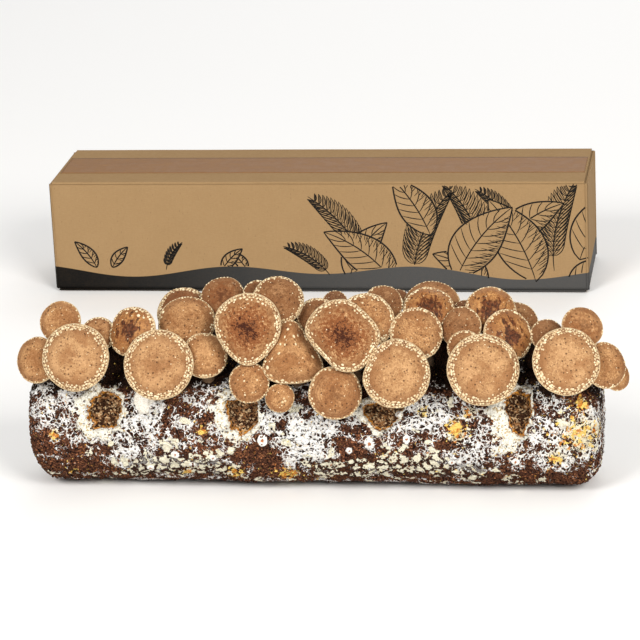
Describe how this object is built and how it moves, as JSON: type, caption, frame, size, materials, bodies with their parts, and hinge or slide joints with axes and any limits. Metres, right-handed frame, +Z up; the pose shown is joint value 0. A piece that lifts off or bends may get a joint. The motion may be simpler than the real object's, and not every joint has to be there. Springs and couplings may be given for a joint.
{
  "type": "shiitake grow kit",
  "caption": "Round-ended sawdust log with shiitake mushrooms growing along its upper front, standing before its taped corrugated carton.",
  "frame": {"origin": "middle of the log's flat underside, on the surface that the log and the carton stand on", "axes": "+X along the log to the right as seen from its mushroom side, +Y from the log's front back to the carton, +Z up"},
  "size_m": [0.5274, 0.5977, 0.1582],
  "materials": {
    "log_sawdust": "matte",
    "mushroom_flesh": "matte",
    "carton_board": "matte",
    "packing_tape": "satin"
  },
  "bodies": {
    "root": {"log": "log_sawdust", "mushroom_left_01": "mushroom_flesh", "mushroom_left_02": "mushroom_flesh", "mushroom_left_03": "mushroom_flesh", "mushroom_left_04": "mushroom_flesh", "mushroom_left_05": "mushroom_flesh", "mushroom_left_06": "mushroom_flesh", "mushroom_left_07": "mushroom_flesh", "mushroom_left_08": "mushroom_flesh", "mushroom_left_09": "mushroom_flesh", "mushroom_left_10": "mushroom_flesh", "mushroom_middle_01": "mushroom_flesh", "mushroom_middle_02": "mushroom_flesh", "mushroom_middle_03": "mushroom_flesh", "mushroom_middle_04": "mushroom_flesh", "mushroom_middle_05": "mushroom_flesh", "mushroom_middle_06": "mushroom_flesh", "mushroom_middle_07": "mushroom_flesh", "mushroom_middle_08": "mushroom_flesh", "mushroom_middle_09": "mushroom_flesh", "mushroom_middle_10": "mushroom_flesh", "mushroom_middle_11": "mushroom_flesh", "mushroom_middle_12": "mushroom_flesh", "mushroom_middle_13": "mushroom_flesh", "mushroom_middle_14": "mushroom_flesh", "mushroom_middle_15": "mushroom_flesh", "mushroom_middle_16": "mushroom_flesh", "mushroom_middle_17": "mushroom_flesh", "mushroom_right_01": "mushroom_flesh", "mushroom_right_02": "mushroom_flesh", "mushroom_right_03": "mushroom_flesh", "mushroom_right_04": "mushroom_flesh", "mushroom_right_05": "mushroom_flesh", "mushroom_right_06": "mushroom_flesh", "mushroom_right_07": "mushroom_flesh", "mushroom_right_08": "mushroom_flesh", "mushroom_right_09": "mushroom_flesh", "mushroom_right_10": "mushroom_flesh", "mushroom_right_11": "mushroom_flesh", "mushroom_right_12": "mushroom_flesh", "carton_walls": "carton_board", "carton_top_flap_front": "carton_board", "carton_top_flap_back": "carton_board", "carton_top_flap_left": "carton_board", "carton_top_flap_right": "carton_board", "carton_top_tape": "packing_tape", "carton_bottom_flap_front": "carton_board", "carton_bottom_flap_back": "carton_board", "carton_bottom_flap_left": "carton_board", "carton_bottom_flap_right": "carton_board", "carton_bottom_tape": "packing_tape"}
  },
  "joints": []
}
